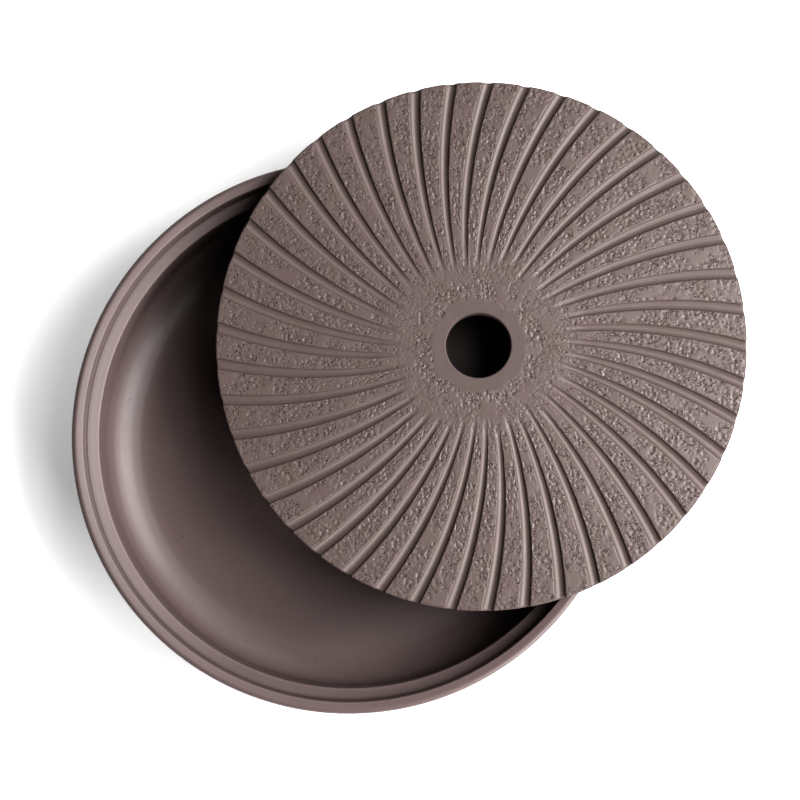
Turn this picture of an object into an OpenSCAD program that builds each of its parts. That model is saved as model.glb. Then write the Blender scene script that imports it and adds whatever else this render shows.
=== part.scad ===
// Round tea tray in unglazed clay, in two loose pieces: a shallow water tray
// with a stepped rim, and a fluted drain plate with a hole in its middle.
// The plate drops into the step of the rim for use. Here it lies on top of
// the rim, pushed to one side, so that the well of the tray is open.
// Origin: centre of the tray's foot, on the surface it stands on. +Z is up.

/* [Water tray] */
// Outer diameter of the tray
tray_d = 180; // [150:1:240]
// Height of the tray from the table to the top of its rim
tray_h = 40; // [36:1:60]
// Width of the flat band on top of the rim
rim_w = 3.9; // [3:0.1:6]
// Depth of the step that the plate drops into
step_depth = 8.5; // [7.5:0.1:10]
// Width of the ledge that carries the plate
ledge_w = 3.8; // [2.5:0.1:6]
// Radius of the curve that rises from the well's floor to its wall
well_curve = 22; // [12.5:0.5:24]
// How far that curve reaches in from the wall
well_curve_w = 12; // [6:0.5:12]
// Thickness of the floor above the hollow of the foot
floor_t = 5; // [4:0.5:8]
// Radius of the outer corner between the wall and the foot
corner_r = 17; // [10:1:20]
// Radius that rounds the outer edge of the rim
rim_round = 1.2; // [0.5:0.1:1.5]

/* [Foot] */
// Outer diameter of the foot ring
foot_d = 140; // [110:1:145]
// Width of the foot ring
foot_w = 7; // [4:1:12]
// Height of the foot ring
foot_h = 2.5; // [1.5:0.5:3.5]

/* [Drain plate] */
// Thickness of the plate
plate_t = 7; // [5:0.5:7.5]
// Gap between the plate's edge and the step, all round
plate_clearance = 0.9; // [0.5:0.1:1.5]
// Width of the bevel along the plate's upper and lower edges
plate_bevel = 0.6; // [0.3:0.1:1]
// Diameter of the drain hole
hole_d = 20.8; // [14:0.2:30]
// Width of the bevel at the hole's upper edge
hole_bevel = 0.5; // [0.2:0.1:1]
// How far the hole and the flutes sit off the plate's own middle, along X
pattern_x = -0.8; // [-1.5:0.1:1.5]
// How far they sit off it along Y
pattern_y = -0.4; // [-1.5:0.1:1.5]

/* [Flutes] */
// Number of curved flutes
flute_n = 45; // [24:1:48]
// Depth of a flute
flute_depth = 1.5; // [0.8:0.1:2]
// Width of a flute at the plate's edge
flute_w_out = 3.4; // [2:0.1:4]
// Width of a flute at its inner end
flute_w_in = 1.6; // [1:0.1:2]
// Distance of the flutes' inner ends from the plate's centre
flute_r_in = 24.7; // [22:0.1:32]
// Angle that a flute sweeps over one full radius of the plate
flute_sweep = 16; // [0:1:24]
// Angle that turns the whole ring of flutes about the hole
flute_start = -0.3; // [-4:0.1:4]

/* [Placing] */
// How far the plate's centre is pushed away from the tray's centre
shift = 51.4; // [40:0.2:60]
// Direction of that push, turned from +X towards +Y
shift_angle = 33.9; // [0:0.1:90]

/* [Hidden] */
$fn = 180;

cut = 1;              // how far a cutting solid runs past what it cuts
lift_gap = 0.05;      // air between the rim and the plate that lies on it
flute_steps = 10;     // straight pieces along each side of a flute

tray_r = tray_d / 2;
step_r = tray_r - rim_w;
well_r = step_r - ledge_w;
floor_z = foot_h + floor_t;
ledge_z = tray_h - step_depth;
foot_r = foot_d / 2;

plate_r = step_r - plate_clearance;
plate_z = tray_h + lift_gap;
hole_r = hole_d / 2;
flute_r_out = plate_r + norm([pattern_x, pattern_y]) + cut;

// Outline of the solid tray before it is hollowed, as half a cross-section.
module tray_half() {
    corner_x = tray_r - corner_r;
    corner_z = foot_h + corner_r;
    square([foot_r, foot_h]);
    translate([0, foot_h]) square([corner_x, corner_r]);
    translate([corner_x, corner_z]) circle(corner_r);
    translate([0, corner_z]) square([tray_r, tray_h - rim_round - corner_z]);
    translate([0, corner_z]) square([tray_r - rim_round, tray_h - corner_z]);
    translate([tray_r - rim_round, tray_h - rim_round]) circle(rim_round);
}

// The hollow above the floor: the well, whose floor curves up and then meets
// the wall, and the step.
module well_half() {
    curve_x = well_r - well_curve_w;
    curve_z = floor_z + well_curve;
    intersection() {
        union() {
            translate([0, floor_z]) square([curve_x, well_curve]);
            translate([curve_x, curve_z]) circle(well_curve);
            translate([0, curve_z]) square([well_r, tray_h - curve_z]);
        }
        square([well_r, tray_h]);
    }
    translate([0, ledge_z]) square([step_r, step_depth + cut]);
}

module water_tray() {
    color([0.42, 0.36, 0.35])
    rotate_extrude()
    intersection() {
        difference() {
            tray_half();
            well_half();
            translate([0, -cut]) square([foot_r - foot_w, foot_h + cut]);
        }
        square([tray_r, tray_h]);
    }
}

// A point of a flute's side, at distance r from the plate's centre. The
// flute's middle line turns evenly as it runs inwards, and side is 1 or -1.
function flute_side(r, side) =
    let (
        along = (r - flute_r_in) / (plate_r - flute_r_in),
        half_w = (flute_w_in + (flute_w_out - flute_w_in) * along) / 2,
        turn = flute_sweep * (1 - r / plate_r) + side * asin(half_w / r)
    )
    r * [cos(turn), sin(turn)];

function flute_r(i) = flute_r_in + (flute_r_out - flute_r_in) * i / flute_steps;

module flute() {
    translate([0, 0, plate_t - flute_depth])
    linear_extrude(flute_depth + cut)
    polygon(concat(
        [for (i = [0 : flute_steps]) flute_side(flute_r(i), -1)],
        [for (i = [flute_steps : -1 : 0]) flute_side(flute_r(i), 1)]
    ));
}

// The plate before it is cut, turned from half a cross-section.
module plate_disc() {
    rotate_extrude()
    polygon([
        [0, 0],
        [plate_r - plate_bevel, 0],
        [plate_r, plate_bevel],
        [plate_r, plate_t - plate_bevel],
        [plate_r - plate_bevel, plate_t],
        [0, plate_t]
    ]);
}

// The drain hole, with its bevel at the upper edge.
module drain_hole() {
    translate([0, 0, -cut]) cylinder(h = plate_t + 2 * cut, r = hole_r);
    translate([0, 0, plate_t - hole_bevel])
    cylinder(h = hole_bevel + cut, r1 = hole_r, r2 = hole_r + hole_bevel + cut);
}

module drain_plate() {
    color([0.47, 0.40, 0.39])
    rotate([0, 0, shift_angle])
    translate([shift, 0, plate_z])
    rotate([0, 0, -shift_angle])
    difference() {
        plate_disc();
        translate([pattern_x, pattern_y, 0]) {
            drain_hole();
            for (i = [0 : flute_n - 1])
                rotate([0, 0, flute_start + i * 360 / flute_n]) flute();
        }
    }
}

water_tray();
drain_plate();
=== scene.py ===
"""Round tea tray in unglazed clay: a water tray, and a fluted drain plate lying across its rim.

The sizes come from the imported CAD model. Lengths are in metres.
"""

import math

import bpy
import numpy as np
from mathutils import Matrix, Vector


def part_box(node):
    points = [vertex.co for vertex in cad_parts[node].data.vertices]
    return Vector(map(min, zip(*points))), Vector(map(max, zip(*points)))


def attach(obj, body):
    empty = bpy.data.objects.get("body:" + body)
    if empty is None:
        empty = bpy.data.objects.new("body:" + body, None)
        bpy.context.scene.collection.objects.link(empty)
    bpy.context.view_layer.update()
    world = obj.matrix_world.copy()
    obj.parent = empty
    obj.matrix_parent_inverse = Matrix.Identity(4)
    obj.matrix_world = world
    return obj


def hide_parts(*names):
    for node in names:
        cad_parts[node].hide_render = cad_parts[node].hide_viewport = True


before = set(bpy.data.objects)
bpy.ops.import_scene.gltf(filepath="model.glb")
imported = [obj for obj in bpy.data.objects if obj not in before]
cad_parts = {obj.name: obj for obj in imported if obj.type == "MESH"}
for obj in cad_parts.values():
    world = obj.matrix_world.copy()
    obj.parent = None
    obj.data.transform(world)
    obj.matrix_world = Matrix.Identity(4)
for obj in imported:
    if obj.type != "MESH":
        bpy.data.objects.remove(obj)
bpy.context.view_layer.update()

MM = 0.001


# ---------------------------------------------------------------- sizes, taken from the frame

def middle(box):
    """The centre of a box, seen from above."""
    return np.array([(box[0].x + box[1].x) / 2, (box[0].y + box[1].y) / 2])


def radius(box):
    """Half the width of a box, short of it by a hair so that nothing shows outside it."""
    width = min(box[1].x - box[0].x, box[1].y - box[0].y)
    return width / 2 - 0.002 * MM


TRAY_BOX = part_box("water_tray")
PLATE_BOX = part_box("drain_plate")
TRAY_R = radius(TRAY_BOX)
TRAY_H = TRAY_BOX[1].z
PLATE_C = middle(PLATE_BOX)
PLATE_R = radius(PLATE_BOX)
PLATE_LOW = PLATE_BOX[0].z
PLATE_TOP = PLATE_BOX[1].z


def hole_of(node, centre, reach):
    """Centre and radius of the round hole near centre, from the CAD node's own corners."""
    points = np.array([v.co[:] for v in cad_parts[node].data.vertices])
    flat = points[:, :2]
    near = flat[np.hypot(*(flat - centre).T) < reach]
    hole_centre = (near.max(0) + near.min(0)) / 2
    return hole_centre, np.hypot(*(near - hole_centre).T).min()


HOLE_C, HOLE_R = hole_of("drain_plate", PLATE_C, 15 * MM)

# The tray's section
RIM_W = 3.9 * MM
STEP_DEPTH = 8.5 * MM
LEDGE_W = 3.8 * MM
WELL_CURVE = 22 * MM           # radius of the curve between the well's floor and its wall
WELL_CURVE_W = 14 * MM         # how far that curve reaches in from the wall
WELL_CORNER = 4.5 * MM         # the curve turns up into the wall with this radius
FLOOR_Z = 7.5 * MM
CORNER_R = 17 * MM
FOOT_R = 70 * MM
FOOT_W = 7 * MM
FOOT_H = 2.5 * MM

# The plate's flutes
FLUTES = 45
FLUTE_TURN = math.radians(16)     # how far a flute turns over one full radius
FLUTE_START = math.radians(-0.3)
FLUTE_ENDS = (23.0 * MM, 27.5 * MM)
EDGE_ROUND = 0.6 * MM
HOLE_ROUND = 0.5 * MM


# ---------------------------------------------------------------- small tools

def smoothstep(low, high, x):
    t = np.clip((x - low) / (high - low), 0, 1)
    return t * t * (3 - 2 * t)


def noise(x, y, seed):
    """Gradient noise from about -1 to 1, with one swell to a unit of x and y."""
    xi = np.floor(x).astype(np.int64)
    yi = np.floor(y).astype(np.int64)
    fx = x - xi
    fy = y - yi

    def corner(dx, dy):
        h = ((xi + dx) * 374761393 + (yi + dy) * 668265263 + seed * 1274126177) & 0xFFFFFFFF
        h = ((h ^ (h >> 13)) * 1103515245) & 0xFFFFFFFF
        angle = ((h ^ (h >> 16)) & 0xFFFF) * (2 * math.pi / 65536)
        return np.cos(angle) * (fx - dx) + np.sin(angle) * (fy - dy)

    sx = fx ** 3 * (fx * (fx * 6 - 15) + 10)
    sy = fy ** 3 * (fy * (fy * 6 - 15) + 10)
    low = corner(0, 0) * (1 - sx) + corner(1, 0) * sx
    high = corner(0, 1) * (1 - sx) + corner(1, 1) * sx
    return 1.45 * (low * (1 - sy) + high * sy)


def arc(cx, cz, radius, start, end, steps):
    """Points on an arc in the section plane, as (r, z), with the angles in degrees."""
    turn = np.radians(np.linspace(start, end, steps))
    return [(cx + radius * math.cos(t), cz + radius * math.sin(t)) for t in turn]


def straight(start, end, steps):
    """Points along a line, without its two ends."""
    share = np.linspace(0, 1, steps + 2)[1:-1, None]
    return [tuple(p) for p in np.array(start) * (1 - share) + np.array(end) * share]


# The first mark darkens the nooks and the pits as painted shade. The second lightens edges, partly as wear
# and partly as a painted highlight.
MARKS = ("hollow", "wear_and_highlight", "rough", "matt")      # what each point tells its material, from 0 to 1


class Shell:
    """A closed skin of rings that share an axis, built ring by ring, with a UV patch for each band."""

    def __init__(self):
        self.points = []
        self.marks = []
        self.faces = []
        self.uvs = []
        self.first = []
        self.count = []

    def ring(self, xyz, mark):
        self.first.append(sum(self.count))
        self.count.append(len(xyz))
        self.points.append(np.asarray(xyz, float))
        self.marks.append(np.broadcast_to(np.asarray(mark, float).T, (len(MARKS), len(xyz))).T)

    def band(self, a, b, uv):
        """Joins ring a to ring b. uv(ring, column) gives the UV of that corner."""
        na, nb = self.count[a], self.count[b]
        fa, fb = self.first[a], self.first[b]
        if na == nb:
            for j in range(na):
                k = (j + 1) % na
                self.faces.append((fa + j, fb + j, fb + k, fa + k))
                self.uvs.append((uv(a, j), uv(b, j), uv(b, j + 1), uv(a, j + 1)))
        elif nb == 3 * na:
            self.widen(a, b, uv, False)
        elif na == 3 * nb:
            self.widen(b, a, uv, True)
        else:
            raise ValueError("rings of %d and %d corners don't join" % (na, nb))

    def widen(self, few, many, uv, flip):
        """Joins a ring to one with three times its corners."""
        nf, nm = self.count[few], self.count[many]
        ff, fm = self.first[few], self.first[many]
        for j in range(nf):
            k = (j + 1) % nf
            m = [3 * j, 3 * j + 1, 3 * j + 2, 3 * j + 3]
            v = [fm + i % nm for i in m]
            shapes = (
                ((ff + j, v[1], v[0]), ((few, j), (many, m[1]), (many, m[0]))),
                ((ff + j, ff + k, v[2], v[1]), ((few, j), (few, j + 1), (many, m[2]), (many, m[1]))),
                ((ff + k, v[3], v[2]), ((few, j + 1), (many, m[3]), (many, m[2]))),
            )
            for face, corners in shapes:
                uvs = tuple(uv(*c) for c in corners)
                self.faces.append(face if flip else face[::-1])
                self.uvs.append(uvs if flip else uvs[::-1])

    def cap(self, a, centre, uv_centre, uv, flip):
        """Closes ring a with a fan round a middle point."""
        tip = sum(self.count)
        self.ring([centre], [[0, 0, 0, 0]])
        fa, na = self.first[a], self.count[a]
        for j in range(na):
            k = (j + 1) % na
            face = (tip, fa + j, fa + k)
            uvs = (uv_centre, uv(a, j), uv(a, j + 1))
            self.faces.append(face[::-1] if flip else face)
            self.uvs.append(uvs[::-1] if flip else uvs)

    def build(self, name):
        mesh = bpy.data.meshes.new(name)
        points = np.concatenate(self.points)
        mesh.from_pydata(points.tolist(), [], self.faces)
        layer = mesh.uv_layers.new(name="OFBake")
        flat = np.array([c for face in self.uvs for c in face], np.float32)
        layer.data.foreach_set("uv", flat.ravel())
        marks = np.concatenate(self.marks).astype(np.float32)
        for i, label in enumerate(MARKS):
            attribute = mesh.attributes.new(label, "FLOAT", "POINT")
            attribute.data.foreach_set("value", np.ascontiguousarray(marks[:, i]))
        mesh.polygons.foreach_set("use_smooth", np.ones(len(mesh.polygons), bool))
        mesh.update()
        piece = bpy.data.objects.new(name, mesh)
        bpy.context.scene.collection.objects.link(piece)
        return piece


def disc_uv(shell, centre, middle_uv, scale):
    """UVs of a flat band, seen straight from above."""
    def uv(ring, column):
        p = shell.points[ring][column % shell.count[ring]]
        return (middle_uv[0] + (p[0] - centre[0]) * scale, middle_uv[1] + (p[1] - centre[1]) * scale)
    return uv


# The UV square: the top as a large disc, the underside as a small one, the sides as strips below.
TOP_UV = (0.345, 0.655)
TOP_UV_R = 0.33
LOW_UV = (0.845, 0.155)
LOW_UV_R = 0.15
STRIP_W = 0.66


def strip_u(shell, ring, column):
    """Where a column lies along a strip."""
    return 0.01 + STRIP_W * column / shell.count[ring]


# ---------------------------------------------------------------- water tray

TRAY_COLUMNS = 360
MIDDLE_R = 2 * MM              # inside this radius the floor and the underside close in a fan


def tray_section():
    """The tray's section from the middle of its floor, over the rim, to the middle of its underside."""
    step_r = TRAY_R - RIM_W
    well_r = step_r - LEDGE_W
    ledge_z = TRAY_H - STEP_DEPTH
    rim_drop = 0.5 * MM           # the rim falls this far towards the well
    ledge_drop = 0.8 * MM         # and so does the ledge
    inner_round = 0.6 * MM
    ledge_round = 0.6 * MM
    outer_round = 1.5 * MM
    nook = 0.5 * MM
    points = []

    def add(part, label):
        points.extend((r, z, label) for r, z in part)

    curve_r = well_r - WELL_CURVE_W
    bend = math.asin((WELL_CURVE_W - WELL_CORNER) / (WELL_CURVE - WELL_CORNER))
    corner_z = FLOOR_Z + WELL_CURVE - (WELL_CURVE - WELL_CORNER) * math.cos(bend)
    bend = math.degrees(bend)
    add(straight((MIDDLE_R, FLOOR_Z), (curve_r, FLOOR_Z), 26), "floor")
    add(arc(curve_r, FLOOR_Z + WELL_CURVE, WELL_CURVE, -89, bend - 90, 20), "floor")
    add(arc(well_r - WELL_CORNER, corner_z, WELL_CORNER, bend - 82, 0, 7), "floor")
    wall_top = ledge_z - ledge_drop - ledge_round
    add(straight((well_r, corner_z + 1 * MM), (well_r, wall_top), 7), "wall")
    add(arc(well_r + ledge_round, wall_top, ledge_round, 180, 96, 6), "edge")
    add(straight((well_r + ledge_round, wall_top + ledge_round), (step_r - nook, ledge_z), 5), "ledge")
    add(arc(step_r - nook, ledge_z + nook, nook, -88, 0, 5), "nook")
    wall_top = TRAY_H - rim_drop - inner_round
    add(straight((step_r, ledge_z + nook), (step_r, wall_top), 5), "wall")
    add(arc(step_r + inner_round, wall_top, inner_round, 180, 100, 6), "edge")
    crown_r = TRAY_R - outer_round
    start = (step_r + inner_round, wall_top + inner_round)
    for share in np.linspace(0.08, 1, 9):
        r = start[0] + (crown_r - start[0]) * share
        z = TRAY_H - rim_drop * (1 - share) ** 1.2
        points.append((r, z, "rim"))
    add(arc(crown_r, TRAY_H - outer_round, outer_round, 80, 0, 9), "crown")
    corner_z = FOOT_H + CORNER_R
    add(straight((TRAY_R, TRAY_H - outer_round), (TRAY_R, corner_z), 9), "outside")
    add(arc(TRAY_R - CORNER_R, corner_z, CORNER_R, 0, -90, 22), "outside")
    foot_round = 0.6 * MM
    add(arc(FOOT_R + foot_round, FOOT_H - foot_round, foot_round, 90, 180, 4), "nook")
    add(arc(FOOT_R - foot_round, foot_round, foot_round, 0, -90, 5), "edge")
    inner = FOOT_R - FOOT_W
    add(arc(inner + foot_round, foot_round, foot_round, -90, -180, 5), "edge")
    add(arc(inner - foot_round, FOOT_H - foot_round, foot_round, 0, 90, 4), "nook")
    add(straight((inner - foot_round, FOOT_H), (MIDDLE_R, FOOT_H), 12), "under")
    return points


def make_tray():
    """The tray, turned on a wheel: its section goes round, with faint throwing marks and an uneven rim."""
    shell = Shell()
    turn = np.linspace(0, 2 * math.pi, TRAY_COLUMNS, endpoint=False)
    c, s = np.cos(turn), np.sin(turn)
    section = tray_section()
    for r, z, label in section:
        # Hand-made clay is never quite round: the walls wander by a tenth of a millimetre.
        wander = 0.10 * MM * (np.cos(2 * turn + 0.7) + 0.6 * np.cos(3 * turn + 2.1) - 1.6) * (r / TRAY_R)
        marks = 0.012 * MM * math.sin(r / (0.55 * MM)) if label == "floor" and r > 6 * MM else 0.0
        rr = r + wander
        zz = np.full_like(turn, z) + marks
        # Painted highlight and wear: the edges get a lighter colour, and the rim's top a little of it. On
        # the inner edges of the rim and the ledge this stands in for a highlight; on the foot it is wear.
        wear_and_highlight = {"edge": 1.0, "rim": 0.1}.get(label, 0.0)
        # Painted shade: the nooks, where the ledge meets the step's wall and round the foot's inner corners,
        # get a darker colour.
        hollow = 1.0 if label == "nook" else 0.0
        shell.ring(np.c_[rr * c, rr * s, zz], [[hollow, wear_and_highlight, 0, 0]])
    top_uv = disc_uv(shell, (0, 0), TOP_UV, TOP_UV_R / TRAY_R)
    low_uv = disc_uv(shell, (0, 0), LOW_UV, LOW_UV_R / TRAY_R)

    def wall_uv(ring, column):
        z = section[ring][1] / TRAY_H
        return (strip_u(shell, ring, column), 0.01 + 0.28 * z)

    for i in range(len(section) - 1):
        label = section[i + 1][2]
        r, z = section[i][:2]
        if label == "outside" or (r > TRAY_R - 0.5 * MM):
            uv = wall_uv
        elif label == "under" or z < FLOOR_Z - 1.5 * MM:
            uv = low_uv
        else:
            uv = top_uv
        shell.band(i, i + 1, uv)
    last = len(section) - 1
    shell.cap(0, (0, 0, FLOOR_Z), TOP_UV, top_uv, False)
    shell.cap(last, (0, 0, FOOT_H), LOW_UV, low_uv, True)
    return shell.build("tray_body")


# ---------------------------------------------------------------- drain plate

ACROSS_FLUTE = 14
ACROSS_PANEL = 18
ROW = 0.38 * MM
PITTED_FROM = 24.0 * MM       # the flutes' inner ends reach about this far
PIT_DEPTH = 0.22 * MM


def flute_wall(r):
    """Half the distance between a flute's steep walls, at r from the middle."""
    return np.interp(r, [22 * MM, 52 * MM, 85 * MM], [0.6 * MM, 1.25 * MM, 1.65 * MM])


def flute_lip(r):
    """Width of the rounded lip outside each wall."""
    return np.interp(r, [22 * MM, 52 * MM, 85 * MM], [0.3 * MM, 0.45 * MM, 0.5 * MM])


def flute_depth(r, end):
    """Depth of a flute, which runs out towards its inner end."""
    full = np.interp(r, [24 * MM, 36 * MM, 60 * MM, 85 * MM], [0.4 * MM, 0.8 * MM, 1.3 * MM, 1.5 * MM])
    return full * smoothstep(0, 9 * MM, r - end) ** 0.8


def flute_shape(u, wall, lip, depth):
    """Depth below the panel at u across a flute: a bowl between two steep walls with rounded lips."""
    u = np.abs(u)
    drop = np.maximum(depth - 0.4 * wall, depth * 0.4)
    bowl = drop + (depth - drop) * (1 - np.minimum(u / wall, 1) ** 1.45)
    out = np.clip((wall + lip - u) / lip, 0, 1)
    edge = drop * (1 - np.sqrt(np.clip(1 - out ** 2, 0, 1)))
    return np.where(u < wall, bowl, edge)


def rough_share(x, y):
    """How rough the clay is, from 0 to 1, at x and y in metres: it is rough in patches."""
    x = x / MM
    y = y / MM
    gather = noise(x / 6.5, y / 6.5, 11) + 0.7 * noise(x / 2.9, y / 2.9, 12)
    away = np.hypot(x, y)
    calm = smoothstep(19.5, 22, away) * (1 - smoothstep(24, 38, away))
    return smoothstep(-0.8, 0.25, gather) * (1 - 0.6 * calm)


def pits(x, y):
    """Depth, from 0 to 1, of the pits and creases in the rough clay, at x and y in metres."""
    x = x / MM
    y = y / MM
    bend_x = x + 0.4 * noise(x / 1.5, y / 1.5, 13)
    bend_y = y + 0.4 * noise(x / 1.5, y / 1.5, 14)
    crease = np.clip(1 - np.abs(noise(bend_x / 1.25, bend_y / 1.25, 15)) / 0.32, 0, 1)
    crease = crease * smoothstep(-0.1, 0.25, noise(x / 1.5, y / 1.5, 16))
    dots = smoothstep(0.12, 0.5, noise(bend_x / 0.95, bend_y / 0.95, 17))
    return np.maximum(0.8 * crease, dots)


def plate_swell(x, y):
    """How far the whole top dips, because hand-made clay isn't quite flat."""
    return 0.06 * MM * (1 + noise(x / (9 * MM), y / (9 * MM), 32))


def across_columns():
    """Where the columns lie over one pitch: in a flute as a share of its half width, then over the panel."""
    steep = [-1, -0.86, -0.74, -0.67, -0.63, -0.5, -0.28, 0, 0.28, 0.5, 0.63, 0.67, 0.74, 0.86]
    panel = np.arange(ACROSS_PANEL) / ACROSS_PANEL
    return np.array(steep), panel


def plate_columns(r_mid):
    """Angle of every column, its offset across the nearest flute, and that flute's number.

    r_mid is the radius, with one value for each column.
    """
    steep, panel = across_columns()
    pitch = 2 * math.pi / FLUTES
    per = ACROSS_FLUTE + ACROSS_PANEL
    index = np.arange(FLUTES * per)
    flute = index // per
    place = index % per
    in_flute = place < ACROSS_FLUTE
    wall, lip = flute_wall(r_mid), flute_lip(r_mid)
    half = wall + lip
    share = steep[np.minimum(place, ACROSS_FLUTE - 1)]
    # The shares put the steep walls at 0.65 of the half width: scale each side of them to fit.
    wall_share = wall / half
    size = np.abs(share)
    inside = size / 0.65 * wall_share
    outside = 1 - (1 - size) / 0.35 * (1 - wall_share)
    u_in = np.sign(share) * np.where(size <= 0.65, inside, outside) * half
    half_turn = np.arcsin(np.clip(half / r_mid, 0, 1))
    over = panel[np.clip(place - ACROSS_FLUTE, 0, ACROSS_PANEL - 1)]
    gap = pitch - 2 * half_turn
    turn_out = half_turn + gap * over
    centre = FLUTE_START + flute * pitch + FLUTE_TURN * (1 - r_mid / PLATE_R)
    turn = centre + np.where(in_flute, np.arcsin(np.clip(u_in / r_mid, -1, 1)), turn_out)
    # The offset is measured from the nearest flute's middle line.
    away = np.where(turn_out > pitch / 2, pitch - turn_out, turn_out)
    nearest = np.where(in_flute | (turn_out <= pitch / 2), flute, (flute + 1) % FLUTES)
    u = np.where(in_flute, u_in, r_mid * np.sin(away))
    return turn, u, nearest


def outline_r(turn):
    """Distance from the hole's middle to the plate's outline, which isn't quite round it."""
    off = PLATE_C - HOLE_C
    along = off[0] * np.cos(turn) + off[1] * np.sin(turn)
    aside = off[0] * np.sin(turn) - off[1] * np.cos(turn)
    return along + np.sqrt(PLATE_R ** 2 - aside ** 2)


def plate_ring(share):
    """One ring of the fluted zone. share is 0 at its inner edge and 1 where the edge's rounding starts."""
    count = FLUTES * (ACROSS_FLUTE + ACROSS_PANEL)
    r = np.full(count, PITTED_FROM + (PLATE_R - EDGE_ROUND - PITTED_FROM) * share)
    for _ in range(3):
        turn, u, flute = plate_columns(r)
        r = PITTED_FROM + (outline_r(turn) - EDGE_ROUND - PITTED_FROM) * share
    return r, turn, u, flute


def plate_surface(r, turn, u, ends):
    """Depth below the plate's top, and the marks, of points on the fluted zone."""
    x, y = r * np.cos(turn), r * np.sin(turn)
    wall, lip = flute_wall(r), flute_lip(r)
    depth = flute_depth(r, ends)
    groove = flute_shape(u, wall, lip, depth)
    faded = smoothstep(0.1 * MM, 0.5 * MM, depth)
    out = (np.abs(u) - wall) / lip
    ragged = 0.35 * noise(x / (1.3 * MM), y / (1.3 * MM), 31)
    on_panel = np.where(faded > 0, 1 - faded * (1 - smoothstep(0.55, 1.05, out + ragged)), 1)
    rough = rough_share(x, y) * on_panel
    pit = pits(x, y) * rough
    swell = plate_swell(x, y)
    down = np.maximum(groove + PIT_DEPTH * pit + swell, 0)
    # The marks: the pits' depth, which the material darkens as painted shade, no wear, roughness, and
    # mattness.
    return down, np.stack([pit, 0 * pit, rough, 0.25 - 0.15 * on_panel], 1)


def central_surface(r, turn):
    """Depth and marks inside the flutes' ends: a pitted ring round a smooth one."""
    x, y = r * np.cos(turn), r * np.sin(turn)
    border = 15.2 * MM + 1.3 * MM * noise(x / (5 * MM), y / (5 * MM), 41)
    pitted = smoothstep(-0.5 * MM, 0.6 * MM, r - border)
    rough = rough_share(x, y) * pitted
    pit = pits(x, y) * rough
    swell = plate_swell(x, y)
    ripple = 0.05 * MM * noise(x / (3.2 * MM), y / (3.2 * MM), 42) * (1 - pitted)
    down = np.maximum(PIT_DEPTH * pit + swell + ripple, 0)
    # The marks: the pits' depth, which the material darkens as painted shade, no wear, roughness, and
    # mattness.
    return down, np.stack([pit, 0 * pit, rough, 1 - 0.9 * pitted], 1)


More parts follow.
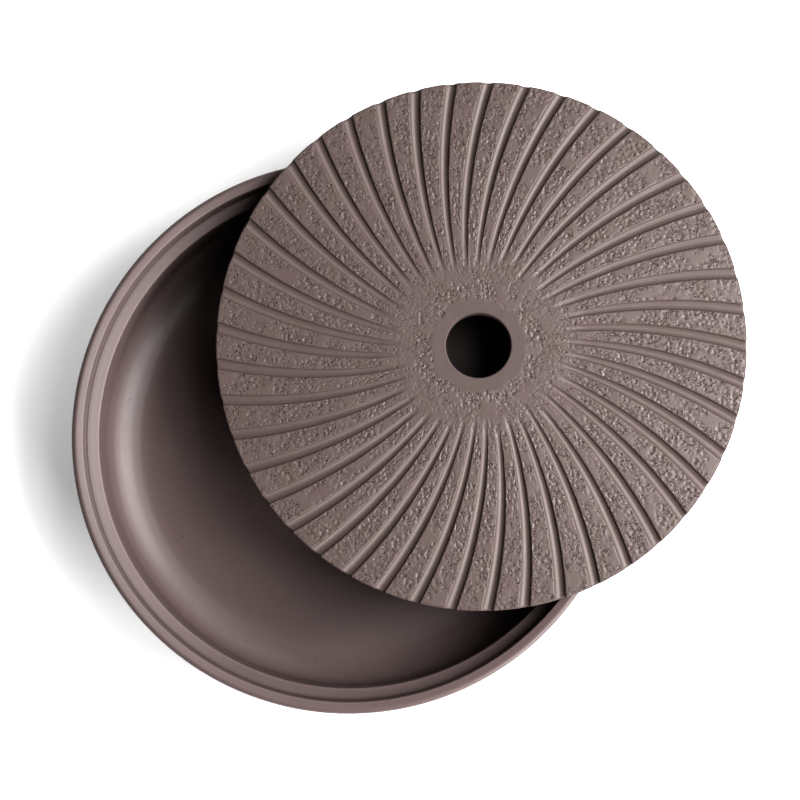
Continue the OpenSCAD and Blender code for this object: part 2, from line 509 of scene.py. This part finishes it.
def make_plate():
    """The drain plate: fluted and pitted on top, with rounded edges and a plain underside."""
    shell = Shell()
    rng = np.random.default_rng(7)
    ends = rng.uniform(*FLUTE_ENDS, FLUTES)
    zones = []

    def put(r, turn, z, marks, zone):
        x = HOLE_C[0] + r * np.cos(turn)
        y = HOLE_C[1] + r * np.sin(turn)
        shell.ring(np.c_[x, y, np.broadcast_to(z, r.shape)], marks)
        zones.append(zone)

    # The middle, from the hole outwards. Its columns are every third column of the fluted zone.
    plain = [[0, 0, 0, 1]]
    _, first_turn, _, _ = plate_ring(0.0)
    few_turn = first_turn[::3]
    ones = np.ones(len(few_turn))
    top = PLATE_TOP
    low = PLATE_LOW
    for z in (low + 0.25 * MM, low + 2 * MM, (low + top) / 2, top - 2 * MM):
        put(HOLE_R * ones, few_turn, z, plain, "hole")
    start = central_surface((HOLE_R + HOLE_ROUND) * ones, few_turn)[0]
    for angle in np.radians([0, 20, 40, 60, 80]):
        r = HOLE_R + HOLE_ROUND * (1 - math.cos(angle))
        z = top - start - HOLE_ROUND * (1 - math.sin(angle))
        put(r * ones, few_turn, z, plain, "hole" if angle < 0.6 else "top")
    inner = HOLE_R + HOLE_ROUND
    rings = int(round((PITTED_FROM - inner) / (0.33 * MM)))
    for i in range(rings):
        r = (inner + (PITTED_FROM - inner) * i / rings) * ones
        down, marks = central_surface(r, few_turn)
        put(r, few_turn, top - down, marks, "top")

    # The fluted zone, out to the rounding of the edge.
    rows = int(round((PLATE_R - EDGE_ROUND - PITTED_FROM) / ROW))
    for i in range(rows + 1):
        r, turn, u, flute = plate_ring(i / rows)
        down, marks = plate_surface(r, turn, u, ends[flute])
        put(r, turn, top - down, marks, "top")
    rim_r, rim_turn, rim_down = r, turn, down

    # The rounded edge, the side and the underside's rounding.
    for angle in np.radians([18, 36, 54, 72, 90]):
        r = rim_r + EDGE_ROUND * math.sin(angle)
        z = top - rim_down - EDGE_ROUND * (1 - math.cos(angle))
        put(r, rim_turn, z, plain, "side" if angle > 1 else "top")
    upper = top - rim_down - EDGE_ROUND
    lower = low + EDGE_ROUND
    for share in (0.2, 0.4, 0.6, 0.8):
        put(rim_r + EDGE_ROUND, rim_turn, upper * (1 - share) + lower * share, plain, "side")
    for angle in np.radians([0, 30, 60, 90]):
        r = rim_r + EDGE_ROUND * math.cos(angle)
        put(r, rim_turn, lower - EDGE_ROUND * math.sin(angle), plain, "side" if angle < 1 else "low")

    # The underside, back to the hole.
    outer = rim_r[::3]
    under_turn = rim_turn[::3]
    for share in (0.03, 0.25, 0.5, 0.75, 0.97):
        r = outer * (1 - share) + (HOLE_R + 0.25 * MM) * share
        # The columns unwind on their way in, to meet those of the hole.
        turn = under_turn * (1 - share) + few_turn * share
        put(r, turn, low, plain, "low")
    put((HOLE_R + 0.25 * MM) * ones, few_turn, low, plain, "low")
    put((HOLE_R + 0.07 * MM) * ones, few_turn, low + 0.07 * MM, plain, "low")

    top_uv = disc_uv(shell, PLATE_C, TOP_UV, TOP_UV_R / PLATE_R)
    low_uv = disc_uv(shell, PLATE_C, LOW_UV, LOW_UV_R / PLATE_R)

    def strip_uv(start):
        """UVs of an upright band, in the strip that starts at this height."""
        def uv(ring, column):
            z = shell.points[ring][column % shell.count[ring]][2]
            return (strip_u(shell, ring, column), start + 0.08 * (z - low) / (top - low))
        return uv

    use = {"top": top_uv, "low": low_uv, "side": strip_uv(0.20), "hole": strip_uv(0.05)}
    total = len(zones)
    for i in range(total):
        shell.band(i, (i + 1) % total, use[zones[i]])
    return shell.build("plate_body")


# ---------------------------------------------------------------- materials

class Nodes:
    """Adds shader nodes by a short call."""

    def __init__(self, name):
        self.material = bpy.data.materials.new(name)
        self.material.use_nodes = True
        self.tree = self.material.node_tree
        self.tree.nodes.clear()

    def add(self, kind, **settings):
        node = self.tree.nodes.new(kind)
        for key, value in settings.items():
            if key.startswith("in_"):
                node.inputs[key[3:].replace("_", " ")].default_value = value
            else:
                setattr(node, key, value)
        return node

    def link(self, out, into):
        self.tree.links.new(out, into)

    def value_of(self, attribute):
        return self.add("ShaderNodeAttribute", attribute_name=attribute).outputs["Fac"]

    def noise(self, size, detail=3.0, rough=0.5):
        """Noise whose swells are about size metres across."""
        place = self.add("ShaderNodeTexCoord")
        node = self.add("ShaderNodeTexNoise", in_Scale=1 / size, in_Detail=detail, in_Roughness=rough)
        self.link(place.outputs["Object"], node.inputs["Vector"])
        return node.outputs["Fac"]

    def cells(self, size):
        """Distance from the nearest of many scattered points, which lie about size metres apart."""
        place = self.add("ShaderNodeTexCoord")
        node = self.add("ShaderNodeTexVoronoi", in_Scale=1 / size)
        self.link(place.outputs["Object"], node.inputs["Vector"])
        return node.outputs["Distance"]

    def ramp(self, value, low, high, out_low=0.0, out_high=1.0):
        node = self.add("ShaderNodeMapRange", interpolation_type="SMOOTHSTEP")
        node.inputs["From Min"].default_value = low
        node.inputs["From Max"].default_value = high
        node.inputs["To Min"].default_value = out_low
        node.inputs["To Max"].default_value = out_high
        self.link(value, node.inputs["Value"])
        return node.outputs["Result"]

    def mix(self, share, a, b, how="MIX"):
        """Mixes two colours; a and b are colours or outputs."""
        node = self.add("ShaderNodeMix", data_type="RGBA", blend_type=how)
        for socket, value in zip((0, 6, 7), (share, a, b)):
            if isinstance(value, bpy.types.NodeSocket):
                self.link(value, node.inputs[socket])
            else:
                node.inputs[socket].default_value = value if socket == 0 else (*value, 1)
        return node.outputs[2]

    def maths(self, how, a, b):
        node = self.add("ShaderNodeMath", operation=how)
        for socket, value in enumerate((a, b)):
            if isinstance(value, bpy.types.NodeSocket):
                self.link(value, node.inputs[socket])
            else:
                node.inputs[socket].default_value = value
        return node.outputs[0]

    def bump(self, height, distance, strength, below=None):
        node = self.add("ShaderNodeBump", in_Strength=strength, in_Distance=distance)
        self.link(height, node.inputs["Height"])
        if below is not None:
            self.link(below, node.inputs["Normal"])
        return node.outputs["Normal"]

    def finish(self, colour, roughness, normal, **settings):
        shader = self.add("ShaderNodeBsdfPrincipled", **settings)
        out = self.add("ShaderNodeOutputMaterial")
        self.link(colour, shader.inputs["Base Color"])
        self.link(roughness, shader.inputs["Roughness"])
        self.link(normal, shader.inputs["Normal"])
        self.link(shader.outputs[0], out.inputs["Surface"])
        return self.material


def tray_clay():
    """Burnished clay, satin, with fine grain, a few iron specks, edges painted lighter (partly wear, partly
    a painted highlight), and painted shade in the nooks.
    """
    n = Nodes("tray_clay")
    tone = n.ramp(n.noise(0.045, 3), 0.35, 0.65)
    colour = n.mix(tone, (0.140, 0.105, 0.102), (0.150, 0.113, 0.109))
    grain = n.ramp(n.noise(0.0009, 4, 0.6), 0.3, 0.7)
    colour = n.mix(n.maths("MULTIPLY", grain, 0.22), colour, (0.104, 0.079, 0.076))
    specks = n.ramp(n.noise(0.0016, 1), 0.74, 0.80)
    colour = n.mix(n.maths("MULTIPLY", specks, 0.5), colour, (0.05, 0.035, 0.03))
    # Painted highlight and wear: the edges are lightened.
    colour = n.mix(n.maths("MULTIPLY", n.value_of("wear_and_highlight"), 0.35), colour, (0.185, 0.145, 0.14))
    # Painted shade: the nooks are darkened.
    colour = n.mix(n.maths("MULTIPLY", n.value_of("hollow"), 0.45), colour, (0.06, 0.04, 0.036))
    sheen = n.ramp(n.noise(0.02, 4, 0.55), 0.3, 0.7, 0.33, 0.38)
    normal = n.bump(n.noise(0.0006, 3), 0.00002, 0.35)
    return n.finish(colour, sheen, normal, in_IOR=1.45)


def plate_clay():
    """Rough clay of a patchy colour, pitted on the panels, with painted shade in the pits, and matt round
    the hole and on plain sides.
    """
    n = Nodes("plate_clay")
    rough = n.value_of("rough")
    patch = n.ramp(n.noise(0.012, 4, 0.6), 0.35, 0.65)
    colour = n.mix(patch, (0.127, 0.094, 0.090), (0.124, 0.094, 0.085))
    cloud = n.ramp(n.noise(0.05, 2), 0.35, 0.65)
    colour = n.mix(n.maths("MULTIPLY", cloud, 0.15), colour, (0.103, 0.078, 0.072))
    grain = n.ramp(n.noise(0.0007, 4, 0.65), 0.3, 0.7)
    colour = n.mix(n.maths("MULTIPLY", grain, 0.2), colour, (0.088, 0.066, 0.060))
    # Painted shade: the pits and creases are darkened by their depth.
    colour = n.mix(n.maths("MULTIPLY", n.value_of("hollow"), 0.15), colour, (0.07, 0.050, 0.044))
    colour = n.mix(n.maths("MULTIPLY", n.value_of("matt"), 0.3), colour, (0.083, 0.063, 0.061))
    gloss = n.ramp(n.noise(0.008, 4, 0.6), 0.3, 0.7, 0.27, 0.33)
    gloss = n.maths("ADD", gloss, n.maths("MULTIPLY", n.value_of("matt"), 0.5))
    wide = n.ramp(n.cells(0.0012), 0.2, 0.36, 1.0, 0.0)
    wide = n.maths("MULTIPLY", wide, n.ramp(n.noise(0.0024, 2), 0.46, 0.54))
    small = n.ramp(n.cells(0.0007), 0.2, 0.36, 1.0, 0.0)
    small = n.maths("MULTIPLY", small, n.ramp(n.noise(0.0017, 2), 0.46, 0.54))
    pitting = n.maths("MULTIPLY", n.maths("MAXIMUM", wide, small), rough)
    coarse = n.bump(n.maths("MULTIPLY", pitting, -1.0), 0.0004, 1.0)
    fine = n.bump(n.noise(0.0005, 4, 0.7), 0.00003, 0.5, coarse)
    return n.finish(colour, gloss, fine, in_IOR=1.45)


def floor_paper():
    """Pale matt paper that glows a little, so that shadows on it stay light."""
    n = Nodes("floor_paper")
    tone = n.ramp(n.noise(0.3, 2), 0.3, 0.7)
    colour = n.mix(tone, (0.90, 0.90, 0.90), (0.92, 0.92, 0.92))
    rough = n.ramp(n.noise(0.1, 2), 0.3, 0.7, 0.85, 0.95)
    normal = n.bump(n.noise(0.0008, 3), 0.00001, 0.1)
    return n.finish(colour, rough, normal, in_Emission_Color=(1, 1, 1, 1), in_Emission_Strength=0.3)


def clothe(piece, material):
    piece.data.materials.clear()
    piece.data.materials.append(material)
    return piece


# ---------------------------------------------------------------- stage, lights and camera

LAMP_DISTANCE = 1.0


def make_floor():
    """A plain pale floor, a hair below the tray's foot."""
    mesh = bpy.data.meshes.new("floor")
    half = 3.0
    low = -0.02 * MM
    corners = [(-half, -half, low), (half, -half, low), (half, half, low), (-half, half, low)]
    mesh.from_pydata(corners, [], [(0, 1, 2, 3)])
    floor = bpy.data.objects.new("floor", mesh)
    bpy.context.scene.collection.objects.link(floor)
    clothe(floor, floor_paper())


def aim(obj, target):
    direction = Vector(target) - obj.location
    obj.rotation_euler = direction.to_track_quat("-Z", "Y").to_euler()


def softbox(name, azimuth, elevation, distance, size, power, target):
    """A soft rectangular lamp that faces target, at this distance, azimuth and elevation in degrees."""
    a, e = math.radians(azimuth), math.radians(elevation)
    away = Vector((math.cos(a) * math.cos(e), math.sin(a) * math.cos(e), math.sin(e)))
    light = bpy.data.lights.new(name, "AREA")
    light.shape = "RECTANGLE"
    light.size, light.size_y = size
    light.energy = power
    lamp = bpy.data.objects.new(name, light)
    bpy.context.scene.collection.objects.link(lamp)
    lamp.location = Vector(target) + distance * away
    aim(lamp, target)
    lamp.visible_camera = False


def make_lights():
    """A wide lamp at the right, three weaker ones, and a faint even light from all round."""
    target = (PLATE_C[0] * 0.5, PLATE_C[1] * 0.5, TRAY_H)
    softbox("right", 3, 50, LAMP_DISTANCE, (0.7, 0.5), 12.8, target)
    softbox("front", -50, 29, LAMP_DISTANCE, (0.45, 0.3), 6.6, target)
    softbox("back", 68, 43, LAMP_DISTANCE, (0.4, 0.35), 1.5, target)
    softbox("overhead", 0, 71, LAMP_DISTANCE, (0.5, 0.25), 1.8, target)
    world = bpy.data.worlds.new("studio")
    bpy.context.scene.world = world
    world.use_nodes = True
    background = world.node_tree.nodes["Background"]
    background.inputs["Color"].default_value = (1, 1, 1, 1)
    background.inputs["Strength"].default_value = 0.02


def make_camera():
    """Looks almost straight down, from 65 cm above the rim, with the bottom of the picture towards -Y."""
    lean = math.radians(4)
    bearing = math.radians(-80)
    distance = 0.65
    between = 0.39          # how far the aim lies from the tray's middle towards the plate's
    target = Vector((PLATE_C[0] * between, PLATE_C[1] * between, TRAY_H))
    away = Vector((math.sin(lean) * math.cos(bearing), math.sin(lean) * math.sin(bearing), math.cos(lean)))
    data = bpy.data.cameras.new("camera")
    data.lens = 90.4
    data.sensor_width = 36
    camera = bpy.data.objects.new("camera", data)
    bpy.context.scene.collection.objects.link(camera)
    right = Vector((0, 1, 0)).cross(away).normalized()
    pose = Matrix((right, away.cross(right), away)).transposed().to_4x4()
    pose.translation = target + distance * away
    camera.matrix_world = pose
    bpy.context.scene.camera = camera


make_camera()
tray = clothe(make_tray(), tray_clay())
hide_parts("water_tray")
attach(tray, "tray")

plate = clothe(make_plate(), plate_clay())
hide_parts("drain_plate")
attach(plate, "plate")

make_floor()
make_lights()
bpy.context.scene.view_settings.view_transform = "Standard"
bpy.context.scene.view_settings.look = "High Contrast"
